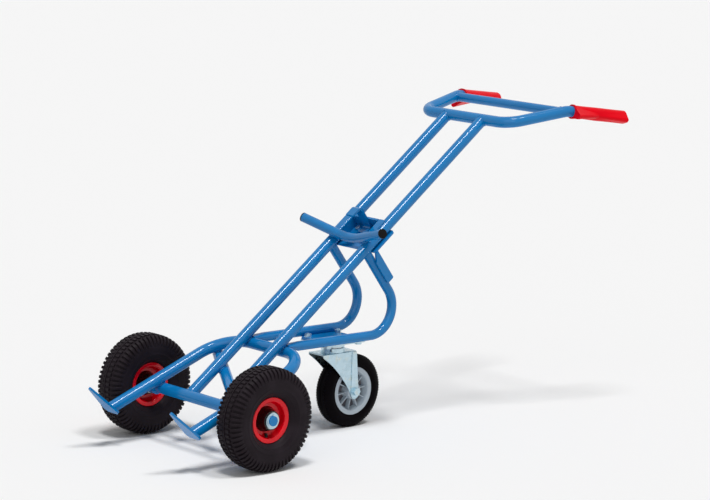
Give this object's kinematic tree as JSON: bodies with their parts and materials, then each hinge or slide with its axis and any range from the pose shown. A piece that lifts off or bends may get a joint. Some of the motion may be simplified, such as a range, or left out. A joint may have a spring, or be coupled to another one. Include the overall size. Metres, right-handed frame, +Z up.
{
  "type": "drum trolley",
  "caption": "Leaning tubular drum trolley with a forked toe, air-filled wheels, a rear swivel caster, a cradle bar, a sliding rim hook and a bow handle with red grips.",
  "frame": {"origin": "on the floor under the middle of the bounding box, in the picture's resting pose", "axes": "+X to the user's left, +Y to the rear towards the handle, +Z up"},
  "size_m": [0.562, 1.4768, 0.8438],
  "materials": {
    "blue_paint": "gloss",
    "grip_rubber": "satin",
    "red_paint": "gloss",
    "tyre_rubber": "matt",
    "tube_rubber": "satin",
    "hub_black": "satin",
    "caster_rubber": "satin",
    "caster_grey": "satin",
    "plug_black": "satin",
    "valve_brass": "satin",
    "bearing_steel": "polished",
    "zinc_steel": "bright zinc"
  },
  "bodies": {
    "frame": {"axle_clips": "zinc_steel", "axle_collars": "blue_paint", "axle_rod": "blue_paint", "axle_washers": "zinc_steel", "caster_ball_ring": "bearing_steel", "caster_kingpin": "zinc_steel", "caster_mounting_plate": "blue_paint", "caster_plate_bolts": "zinc_steel", "caster_plate_nuts": "zinc_steel", "caster_top_plate": "zinc_steel", "cradle_plugs": "plug_black", "cradle_tube": "blue_paint", "diagonal_brace": "blue_paint", "fork_tube": "blue_paint", "grip_left": "grip_rubber", "grip_right": "grip_rubber", "handle_crossbar": "blue_paint", "handle_tube": "blue_paint", "rail_left": "blue_paint", "rail_right": "blue_paint", "stand_tube_left": "blue_paint", "stand_tube_right": "blue_paint", "toe_plate_left": "blue_paint", "toe_plate_right": "blue_paint"},
    "wheel_left": {"tyre_left": "tyre_rubber", "inner_tube_left": "tube_rubber", "valve_left": "valve_brass", "rim_outer_left": "red_paint", "rim_inner_left": "red_paint", "hub_left": "hub_black", "bearings_left": "bearing_steel"},
    "wheel_right": {"tyre_right": "tyre_rubber", "inner_tube_right": "tube_rubber", "valve_right": "valve_brass", "rim_outer_right": "red_paint", "rim_inner_right": "red_paint", "hub_right": "hub_black", "bearings_right": "bearing_steel"},
    "caster_swivel": {"caster_fork": "zinc_steel", "caster_axle_bolt": "zinc_steel", "caster_axle_nut": "zinc_steel", "caster_sleeve": "bearing_steel"},
    "caster_wheel": {"caster_rim": "caster_grey", "caster_tyre": "caster_rubber", "caster_roller_bearing": "bearing_steel"},
    "hook": {"hook_channel": "blue_paint", "hook_back_plate": "blue_paint", "hook_claw": "blue_paint", "hook_bolts": "zinc_steel", "hook_nuts": "zinc_steel", "hook_lever": "blue_paint"}
  },
  "joints": [
    {"name": "wheel_left_spin", "type": "hinge", "parent": "frame", "child": "wheel_left", "pos_m": [0.24, -0.50541, 0.13], "axis": [1, 0, 0], "continuous": true},
    {"name": "wheel_right_spin", "type": "hinge", "parent": "frame", "child": "wheel_right", "pos_m": [-0.24, -0.50541, 0.13], "axis": [1, 0, 0], "continuous": true},
    {"name": "caster_swivel_turn", "type": "hinge", "parent": "frame", "child": "caster_swivel", "pos_m": [0, -0.07541, 0.21735], "axis": [0, 0, 1], "continuous": true},
    {"name": "caster_wheel_spin", "type": "hinge", "parent": "caster_swivel", "child": "caster_wheel", "pos_m": [0, -0.01842, 0.0975], "axis": [1, 0, 0], "continuous": true},
    {"name": "hook_slide", "type": "slide", "parent": "frame", "child": "hook", "axis": [0, 0.7912, 0.6115], "range_m": [0, 0.3]}
  ]
}
